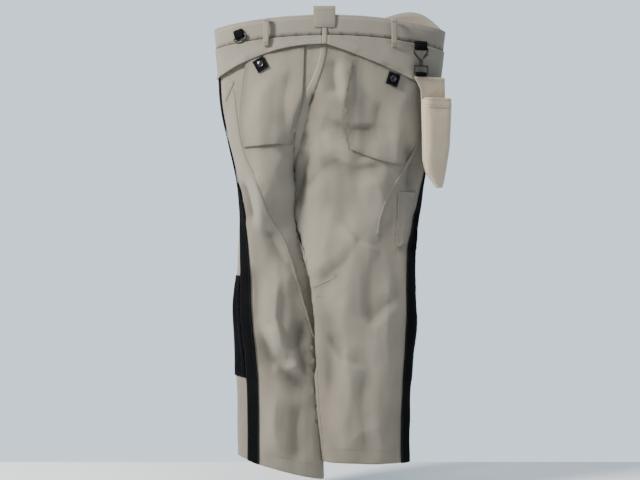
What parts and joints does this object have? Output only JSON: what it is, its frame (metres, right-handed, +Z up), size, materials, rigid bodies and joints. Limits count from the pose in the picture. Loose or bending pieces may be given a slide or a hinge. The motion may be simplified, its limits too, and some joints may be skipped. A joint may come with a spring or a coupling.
{
  "type": "work trousers",
  "caption": "Tan fire and rescue work trousers with black side tapes, knee patches, snap tabs, a D-ring and a tool holster on a swivel hook.",
  "frame": {"origin": "middle of the outer face of the hang loop at the back of the waist, level with the top of the waistband", "axes": "+Z up, -Y towards the wearer's back, +X towards the wearer's right"},
  "size_m": [0.5487, 0.1809, 1.1008],
  "materials": {
    "tan_cloth": "matt twill",
    "tan_trim": "matt twill, doubled and topstitched",
    "black_webbing": "woven tape",
    "black_knee_cloth": "coarse plain weave",
    "black_plastic": "moulded, satin",
    "nickel": "nickel plated"
  },
  "bodies": {
    "trousers": {"back_left_leg": "tan_cloth", "front_left_leg": "tan_cloth", "back_right_leg": "tan_cloth", "front_right_leg": "tan_cloth", "left_back_pocket": "tan_cloth", "right_back_pocket": "tan_cloth", "left_front_pocket": "tan_cloth", "right_front_pocket": "tan_cloth", "right_thigh_pocket": "tan_cloth", "left_hem": "tan_trim", "right_hem": "tan_trim", "waistband_back_left": "tan_trim", "waistband_front_left": "tan_trim", "waistband_back_right": "tan_trim", "waistband_front_right": "tan_trim", "yoke_left": "tan_trim", "yoke_right": "tan_trim", "belt_loop_back_right": "tan_trim", "belt_loop_back_left": "tan_trim", "belt_loop_front_right": "tan_trim", "belt_loop_front_left": "tan_trim", "belt_loop_side_right": "tan_trim", "belt_loop_side_left": "tan_trim", "hang_loop": "tan_trim", "fly_placket": "tan_trim", "left_side_tape": "black_webbing", "right_side_tape": "black_webbing", "left_ring_webbing": "black_webbing", "right_hook_webbing": "black_webbing", "zip_chain": "black_webbing", "left_knee_patch": "black_knee_cloth", "right_knee_patch": "black_knee_cloth", "left_snap_stud": "nickel", "right_snap_stud": "nickel"},
    "left_tab": {"left_pocket_tab": "black_webbing", "left_snap_cap": "nickel"},
    "right_tab": {"right_pocket_tab": "black_webbing", "right_snap_cap": "nickel"},
    "d_ring": {"left_d_ring": "black_plastic"},
    "hook": {"hook_body": "black_plastic"},
    "gate": {"hook_gate": "black_plastic"},
    "swivel": {"hook_swivel_eye": "black_plastic"},
    "holster": {"holster_strap": "black_webbing", "holster_back": "tan_cloth", "holster_bag": "tan_cloth", "holster_facing": "tan_trim"},
    "slider": {"zip_slider": "nickel"},
    "pull": {"zip_pull": "nickel"},
    "tongue": {"waist_tongue": "tan_trim", "waist_button": "nickel"}
  },
  "joints": [
    {"name": "left_tab_open", "type": "hinge", "parent": "trousers", "child": "left_tab", "pos_m": [-0.16465, 0.00913, -0.09956], "axis": [-0.8597, 0.1786, -0.4786], "range_deg": [0, 110]},
    {"name": "right_tab_open", "type": "hinge", "parent": "trousers", "child": "right_tab", "pos_m": [0.14752, 0.00711, -0.13227], "axis": [-0.9294, -0.1936, 0.3143], "range_deg": [0, 110]},
    {"name": "d_ring_swing", "type": "hinge", "parent": "trousers", "child": "d_ring", "pos_m": [-0.20691, 0.0233, -0.04584], "axis": [-0.9041, 0.3087, -0.2955], "range_deg": [0, 95]},
    {"name": "hook_swing", "type": "hinge", "parent": "trousers", "child": "hook", "pos_m": [0.20669, 0.01269, -0.07436], "axis": [-0.951, -0.3092, 0], "range_deg": [0, 50]},
    {"name": "gate_open", "type": "hinge", "parent": "hook", "child": "gate", "pos_m": [0.21144, 0.01424, -0.09916], "axis": [0.3092, -0.951, 0], "range_deg": [0, 10]},
    {"name": "swivel_turn", "type": "hinge", "parent": "hook", "child": "swivel", "pos_m": [0.20669, 0.01269, -0.11316], "axis": [0, 0, 1], "range_deg": [-18, 18]},
    {"name": "holster_swing", "type": "hinge", "parent": "swivel", "child": "holster", "pos_m": [0.20669, 0.01269, -0.13356], "axis": [-0.951, -0.3092, 0], "range_deg": [0, 40]},
    {"name": "zip_slide", "type": "slide", "parent": "trousers", "child": "slider", "axis": [-0.1952, 0.081, -0.9774], "range_m": [0, 0.156]},
    {"name": "pull_flip", "type": "hinge", "parent": "slider", "child": "pull", "pos_m": [-0.02289, 0.1548, -0.05914], "axis": [0.9808, 0.0152, -0.1947], "range_deg": [0, 150]},
    {"name": "tongue_open", "type": "hinge", "parent": "trousers", "child": "tongue", "pos_m": [-0.0038, 0.14995, -0.02394], "axis": [-0.1955, 0.0534, -0.9793], "range_deg": [0, 80]}
  ]
}
